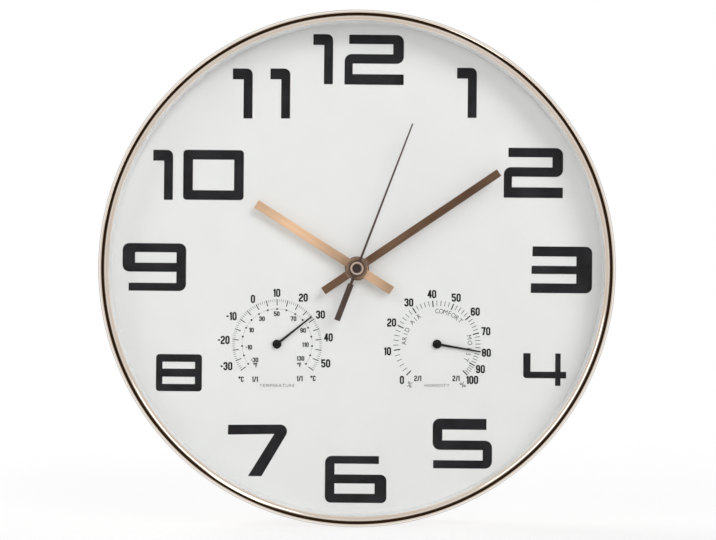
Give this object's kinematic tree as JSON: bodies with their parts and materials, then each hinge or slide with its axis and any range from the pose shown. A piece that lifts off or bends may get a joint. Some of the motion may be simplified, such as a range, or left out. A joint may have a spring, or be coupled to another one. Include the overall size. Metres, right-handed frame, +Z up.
{
  "type": "wall clock",
  "caption": "Round wall clock with a deep rose-gold ring, flat glass, bar hands on a white dial, and a thermometer and a hygrometer set into the lower half of the dial.",
  "frame": {"origin": "on the axis of the hands, in the plane of the ring's back edge, which lies against the wall", "axes": "+Z up to twelve o'clock, +X to three o'clock, +Y from the viewer to the wall; the dial faces -Y"},
  "size_m": [0.3, 0.0423, 0.3],
  "materials": {
    "rose_gold": "polished rose-gold plating",
    "glass": "clear flat glass",
    "white_wall": "satin white moulding",
    "dial_white": "matt white dial sheet",
    "cover_white": "fine-grained white moulding",
    "zinc_steel": "zinc-plated steel",
    "movement_black": "satin black moulding",
    "brass": "turned brass",
    "rubber": "soft black rubber",
    "cell_wrap": "plain shrink wrap",
    "spring_metal": "nickel-plated spring strip",
    "board_green": "solder-mask green",
    "can_metal": "bright metal can",
    "chip_black": "black resin drop",
    "core_steel": "soft magnetic steel",
    "bobbin_white": "natural nylon",
    "copper": "enamelled copper wire",
    "magnet": "sintered magnet",
    "gear_white": "natural acetal",
    "hand_gold": "satin rose-gold plating",
    "pointer_black": "black paint",
    "cap_black": "glossy black",
    "cup_plastic": "black moulding",
    "bimetal": "bimetal strip"
  },
  "bodies": {
    "case": {"bezel_ring": "rose_gold", "front_glass": "glass", "reveal_ring": "white_wall", "dial_plate": "dial_white", "back_cover": "cover_white", "cover_screws": "zinc_steel", "hanger_plate": "zinc_steel", "hanger_screws": "zinc_steel", "movement_case": "movement_black", "movement_lid": "movement_black", "threaded_bush": "brass", "rubber_washer": "rubber", "flat_washer": "brass", "mounting_nut": "brass", "positive_contact": "spring_metal", "negative_contact": "spring_metal", "circuit_board": "board_green", "quartz_crystal": "can_metal", "sealed_chip": "chip_black", "stator_plate": "core_steel", "coil_core": "core_steel", "coil_bobbin": "bobbin_white", "coil_winding": "copper", "thermometer_cup": "cup_plastic", "thermometer_coil": "bimetal", "hygrometer_cup": "cup_plastic", "hygrometer_coil": "bimetal"},
    "battery": {"battery": "cell_wrap"},
    "rotor": {"rotor_magnet": "magnet", "rotor_pinion": "gear_white"},
    "step_wheel": {"step_wheel": "gear_white"},
    "seconds": {"second_wheel": "gear_white", "second_arbor": "zinc_steel", "second_hand": "hand_gold", "second_hand_cap": "hand_gold"},
    "third_wheel": {"third_wheel": "gear_white"},
    "minutes": {"centre_wheel": "gear_white", "cannon_pinion": "brass", "minute_hand": "hand_gold"},
    "motion_work": {"motion_wheel": "gear_white", "setting_knob": "movement_black"},
    "hours": {"hour_wheel": "brass", "hour_hand": "hand_gold"},
    "thermometer": {"thermometer_arbor": "zinc_steel", "thermometer_pointer": "pointer_black", "thermometer_pointer_cap": "cap_black"},
    "hygrometer": {"hygrometer_arbor": "zinc_steel", "hygrometer_pointer": "pointer_black", "hygrometer_pointer_cap": "cap_black"}
  },
  "joints": [
    {"name": "minute_turn", "type": "hinge", "parent": "case", "child": "minutes", "pos_m": [0, -0.01, 0], "axis": [0, 1, 0], "continuous": true},
    {"name": "second_turn", "type": "hinge", "parent": "case", "child": "seconds", "pos_m": [0, -0.01, 0], "axis": [0, 1, 0], "continuous": true},
    {"name": "hour_turn", "type": "hinge", "parent": "case", "child": "hours", "pos_m": [0, -0.01, 0], "axis": [0, 1, 0], "continuous": true},
    {"name": "third_turn", "type": "hinge", "parent": "case", "child": "third_wheel", "pos_m": [0, -0.01, 0.009], "axis": [0, 1, 0], "continuous": true},
    {"name": "step_turn", "type": "hinge", "parent": "case", "child": "step_wheel", "pos_m": [0.00857, -0.01, -0.00312], "axis": [0, 1, 0], "continuous": true},
    {"name": "rotor_turn", "type": "hinge", "parent": "case", "child": "rotor", "pos_m": [0.01436, -0.01, -0.00101], "axis": [0, 1, 0], "continuous": true},
    {"name": "motion_turn", "type": "hinge", "parent": "case", "child": "motion_work", "pos_m": [-0.0095, -0.01, 0], "axis": [0, 1, 0], "continuous": true},
    {"name": "thermometer_turn", "type": "hinge", "parent": "case", "child": "thermometer", "pos_m": [-0.047, -0.01, -0.04445], "axis": [0, 1, 0], "range_deg": [-177.5, 74.5], "stiffness_Nm_per_rad": 0.0005, "deforming": ["thermometer_coil"]},
    {"name": "hygrometer_turn", "type": "hinge", "parent": "case", "child": "hygrometer", "pos_m": [0.047, -0.01, -0.04445], "axis": [0, 1, 0], "range_deg": [-235.7, 35.7], "stiffness_Nm_per_rad": 0.0005, "deforming": ["hygrometer_coil"]},
    {"name": "battery_out", "type": "slide", "parent": "case", "child": "battery", "axis": [0, 1, 0], "range_m": [0, 0.025]}
  ],
  "couplings": [
    {"joint": "second_turn", "follows": "minute_turn", "ratio": 60},
    {"joint": "hour_turn", "follows": "minute_turn", "ratio": 0.083333},
    {"joint": "third_turn", "follows": "minute_turn", "ratio": -7.5},
    {"joint": "step_turn", "follows": "minute_turn", "ratio": -300},
    {"joint": "rotor_turn", "follows": "minute_turn", "ratio": 1800},
    {"joint": "motion_turn", "follows": "minute_turn", "ratio": -0.33333}
  ]
}
